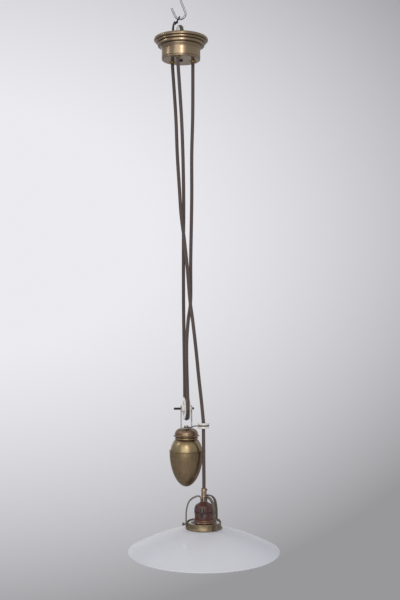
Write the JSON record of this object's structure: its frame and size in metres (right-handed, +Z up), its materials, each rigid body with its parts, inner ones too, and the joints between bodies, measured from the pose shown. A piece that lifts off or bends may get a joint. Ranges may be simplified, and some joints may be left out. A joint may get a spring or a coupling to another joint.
{
  "type": "rise and fall pendant",
  "caption": "Ceiling pendant on a textile cord that runs over porcelain wheels: an egg-shaped counterweight balances a lampholder with a shallow opal glass shade, so it stays at any height.",
  "frame": {"origin": "where the hook's shank enters the ceiling", "axes": "+Z up, along the hook's shank; +X to the right and +Y away in the front view"},
  "size_m": [0.307, 0.307, 1.168],
  "materials": {
    "galvanised": "dull zinc",
    "dark_iron": "blackened, slightly worn",
    "aged_brass": "aged, brown patina",
    "dark_brass": "dark patina",
    "bright_brass": "plain",
    "porcelain": "glazed, opaque",
    "textile": "braided",
    "core": "matt",
    "steel": "worn",
    "brown_bakelite": "glossy dark brown",
    "ballast_iron": "raw",
    "opal_glass": "glossy opal"
  },
  "bodies": {
    "canopy": {"ceiling_hook": "galvanised", "hanging_link": "dark_iron", "hanging_strap": "dark_iron", "canopy_cup": "aged_brass", "canopy_screw": "dark_iron", "canopy_nut": "steel", "cord_bushes": "bright_brass", "ceiling_axle": "steel", "cord_clamp": "bright_brass", "clamp_screw": "steel", "terminal_block": "porcelain", "terminal_screws": "bright_brass", "cord_cores": "core", "canopy_cord": "textile"},
    "ceiling wheel": {"ceiling_wheel": "porcelain"},
    "counterweight": {"fixed_cord": "textile", "return_cord": "textile", "lamp_cord_upper": "textile", "weight_cord": "textile", "weight_axle": "dark_iron", "weight_fork": "steel", "weight_nut": "dark_iron", "tie_rod": "steel", "weight_cap": "aged_brass", "weight_dome": "aged_brass", "weight_egg": "dark_brass", "ballast": "ballast_iron", "guide_arm": "dark_iron", "guide_eye": "porcelain"},
    "weight wheel": {"weight_wheel": "porcelain"},
    "lamp": {"lamp_cord_lower": "textile", "cord_grip": "bright_brass", "grip_screw": "dark_iron", "threaded_tube": "dark_brass", "tube_nut": "bright_brass", "gallery_arm_left": "dark_iron", "gallery_arm_front": "dark_iron", "gallery_arm_rear": "dark_iron", "gallery_ring": "dark_brass", "holder_cap": "brown_bakelite", "holder_body": "brown_bakelite", "holder_ring": "bright_brass", "socket_insert": "porcelain", "bulb_shell": "bright_brass", "centre_contact": "bright_brass", "socket_terminals": "bright_brass", "shade": "opal_glass"},
    "thumbscrew left": {"thumbscrew_left": "dark_iron"},
    "thumbscrew front": {"thumbscrew_front": "dark_iron"},
    "thumbscrew rear": {"thumbscrew_rear": "dark_iron"}
  },
  "joints": [
    {"name": "weight_travel", "type": "slide", "parent": "canopy", "child": "counterweight", "axis": [0, 0, 1], "range_m": [-0.01, 0.4], "deforming": ["fixed_cord", "return_cord", "lamp_cord_upper"]},
    {"name": "lamp_travel", "type": "slide", "parent": "counterweight", "child": "lamp", "axis": [0, 0, 1], "range_m": [-1.2, 0.03], "deforming": ["lamp_cord_lower"]},
    {"name": "ceiling_wheel_turn", "type": "hinge", "parent": "canopy", "child": "ceiling wheel", "pos_m": [-0.00291, -0.00073, -0.0898], "axis": [0.9703, 0.2419, 0], "range_deg": [-2185, 60]},
    {"name": "weight_wheel_turn", "type": "hinge", "parent": "counterweight", "child": "weight wheel", "pos_m": [0.011, 0, -0.8505], "axis": [0.9863, 0.165, 0], "range_deg": [-30, 1095]},
    {"name": "thumbscrew_left_travel", "type": "slide", "parent": "lamp", "child": "thumbscrew left", "axis": [-0.9962, -0.0872, 0], "range_m": [0, 0.004]},
    {"name": "thumbscrew_front_travel", "type": "slide", "parent": "lamp", "child": "thumbscrew front", "axis": [0.5878, -0.809, 0], "range_m": [0, 0.004]},
    {"name": "thumbscrew_rear_travel", "type": "slide", "parent": "lamp", "child": "thumbscrew rear", "axis": [0.7071, 0.7071, 0], "range_m": [0, 0.004]}
  ],
  "couplings": [
    {"joint": "lamp_travel", "follows": "weight_travel", "ratio": -3},
    {"joint": "ceiling_wheel_turn", "follows": "weight_travel", "rad_per_m": -95.238},
    {"joint": "weight_wheel_turn", "follows": "weight_travel", "rad_per_m": 47.619}
  ]
}
